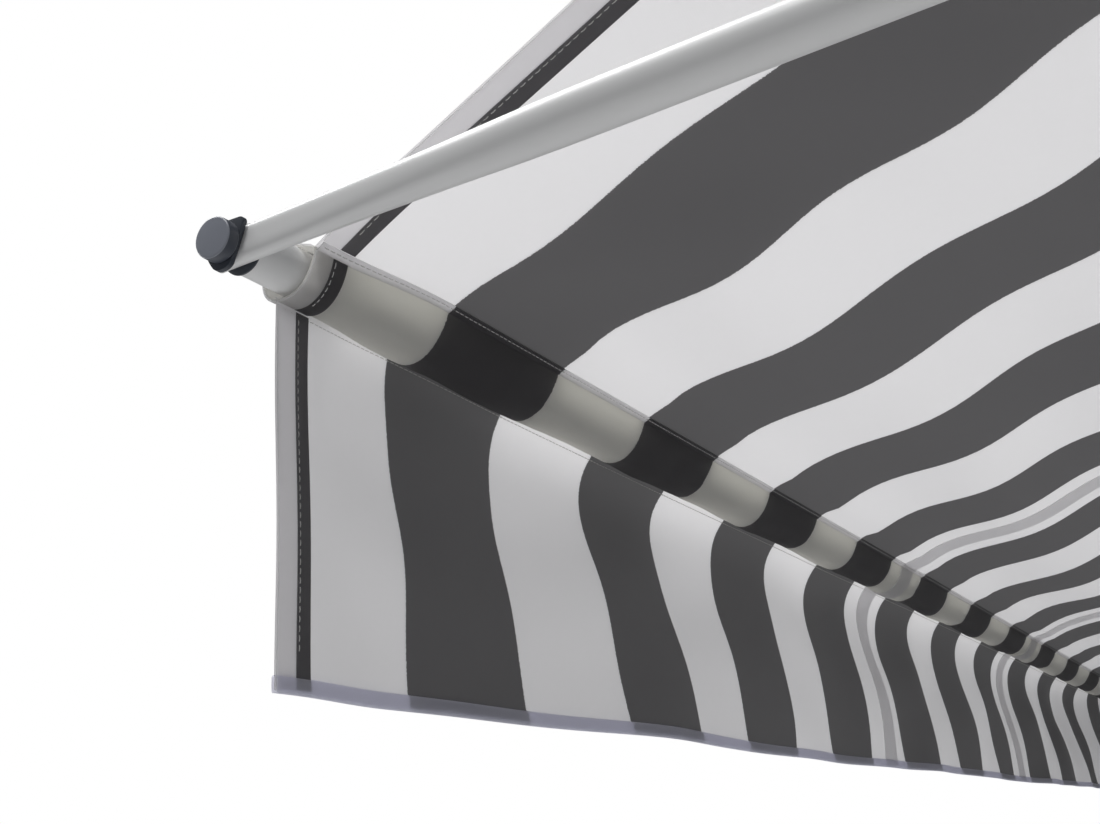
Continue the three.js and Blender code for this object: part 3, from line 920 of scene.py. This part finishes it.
for side, (_, inward) in ends.items():
    low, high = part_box(f"end_cap_{side}")
    cap = roundPart(middleOf(f"end_cap_{side}"), (high[2] - low[2]) / 2, high[0] - low[0], endCap["edge"])
    ridePart(cap, f"end_cap_{side}_moulded", capPlastic, "dark_plastic", "arms", f"end_cap_{side}")

    bolt = middleOf(f"bar_bolt_{side}")
    makePlate(side, bolt)

    low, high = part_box("front_bar")
    collarX = (high[0] if inward < 0 else low[0]) - inward * collarRing["inset"]
    collar = roundPart((collarX, bolt.y, bolt.z), barRadius - collarRing["narrower"],
                       collarRing["depth"], collarRing["edge"])
    ridePart(collar, f"bar_plug_{side}_collar", darkPlastic, "dark_plastic", "arms", f"bar_plug_{side}")
print("bar ends made")

woundCloth = {"wall": 0.0022, "sides": 96}
clearSelection()
bpy.ops.mesh.primitive_cylinder_add(vertices=woundCloth["sides"], radius=rollRadius, depth=2 * clothHalf,
                                    end_fill_type="NOTHING", rotation=(0, math.pi / 2, 0),
                                    location=(clothMiddle, rollerCentre.y, rollerCentre.z))
roll = bpy.context.object
applyPlace(roll)
mergeDoubles(roll, outward=True)
modify(roll, "SOLIDIFY", thickness=woundCloth["wall"], offset=-1.0)
layer = clothLayer(roll.data)
for loop in roll.data.loops:
    co = roll.data.vertices[loop.vertex_index].co
    turn = math.atan2(co.z - rollerCentre.z, co.y - rollerCentre.y)
    layer.data[loop.index].uv = (clothRight - co.x, turn * rollRadius)
ridePart(roll, "roller_wound_cloth", stripedCloth, "awning_cloth", "roller", "cloth_roll")
print("roller made")

slotFinish = {
    "white_paint": whitePaint,
    "zinc_steel": zincSteel,
    "dark_plastic": darkPlastic,
    "grey_plastic": greyPlastic,
    "brass_wheel": brassAlloy,
    "awning_cloth": stripedCloth,
    "clear_binding": clearBinding,
}
for part in frame["record"]["subparts"]:
    piece = bpy.data.objects.get(part["node"])
    if piece is None or piece.type != "MESH":
        continue
    for place in piece.material_slots:
        place.material = slotFinish[part["material_slot"]]
print("frame parts finished")

studio = {
    "floor": -2.35,
    "floorOut": -1.0,
    "floorSize": 10.0,
    "key": 119.0,
    "keyFrom": (0.24, -0.50, 0.82),
    "keySize": 2.6,
    "keyAway": 4.2,
    "side": 52.0,
    "sideSize": 0.9,
    "front": 29.0,
    "frontSize": 1.8,
    "fill": 0.6,
    "fillSize": 0.9,
    "ambient": 0.145,
}

clearSelection()
bpy.ops.mesh.primitive_plane_add(size=studio["floorSize"],
                                 location=(clothMiddle, studio["floorOut"], studio["floor"]))
floor = bpy.context.object
floor.name = "studio_floor"
floor.data.materials.append(solidFinish("paleFloor", (0.88, 0.88, 0.88), (0.85, 0.85, 0.85), 0.8))


def addLamp(name, place, aim, power, size):
    clearSelection()
    bpy.ops.object.light_add(type="AREA", location=place)
    lamp = bpy.context.object
    lamp.name = name
    lamp.data.energy = power
    lamp.data.size = size
    lamp.rotation_euler = (Vector(place) - Vector(aim)).to_track_quat("Z", "Y").to_euler()


awningMiddle = Vector((clothMiddle, -0.8, -0.35))
keyPlace = awningMiddle + Vector(studio["keyFrom"]).normalized() * studio["keyAway"]
addLamp("key_light", keyPlace, awningMiddle, studio["key"], studio["keySize"])
addLamp("side_light", (1.5, -1.1, 2.3), (0.04, -1.0, -0.55), studio["side"], studio["sideSize"])
addLamp("front_light", (-0.6, -4.2, -0.3), (-0.6, barAxis.y, -0.7), studio["front"], studio["frontSize"])
addLamp("fill_light", (1.5, -0.9, -0.9), (0.0, -1.2, -0.6), studio["fill"], studio["fillSize"])

# The background looks white to the camera and lights the awning only faintly.
world = bpy.data.worlds.new("studio")
bpy.context.scene.world = world
world.use_nodes = True
tree = world.node_tree
tree.nodes.clear()
output = tree.nodes.new("ShaderNodeOutputWorld")
seen = tree.nodes.new("ShaderNodeBackground")
seen.inputs["Color"].default_value = (1, 1, 1, 1)
seen.inputs["Strength"].default_value = 1.0
lit = tree.nodes.new("ShaderNodeBackground")
lit.inputs["Color"].default_value = (0.96, 0.98, 1, 1)
lit.inputs["Strength"].default_value = studio["ambient"]
path = tree.nodes.new("ShaderNodeLightPath")
pick = tree.nodes.new("ShaderNodeMixShader")
tree.links.new(path.outputs["Is Camera Ray"], pick.inputs[0])
tree.links.new(lit.outputs[0], pick.inputs[1])
tree.links.new(seen.outputs[0], pick.inputs[2])
tree.links.new(pick.outputs[0], output.inputs["Surface"])
bpy.context.scene.view_settings.view_transform = "Standard"

# The camera stands below the cloth near the right end of the bar and looks up and outwards.
view = {
    "across": -3.755,  # the camera's place from the bar's right end, in stripes
    "out": -3.161,
    "up": -2.282,
    "yaw": 61.72,
    "pitch": 18.59,
    "roll": -3.77,
    "lens": 44.2145455,
    "clipStart": 0.02,
}
unit = cloth["stripe"]
eye = Vector((clothRight - view["across"] * unit, barAxis.y - view["out"] * unit,
              barAxis.z + view["up"] * unit))
yaw, pitch, lean = (math.radians(view[key]) for key in ("yaw", "pitch", "roll"))
forward = Vector((-math.sin(yaw) * math.cos(pitch), -math.cos(yaw) * math.cos(pitch),
                  math.sin(pitch)))
level = Vector((-math.cos(yaw), math.sin(yaw), 0))
rise = level.cross(forward)
right = level * math.cos(lean) + rise * math.sin(lean)
top = rise * math.cos(lean) - level * math.sin(lean)
cameraData = bpy.data.cameras.new("camera")
cameraData.lens = view["lens"]
cameraData.clip_start = view["clipStart"]
camera = bpy.data.objects.new("camera", cameraData)
bpy.context.scene.collection.objects.link(camera)
camera.matrix_world = Matrix.Translation(eye) @ Matrix((right, top, -forward)).transposed().to_4x4()
bpy.context.scene.camera = camera
print("studio made")
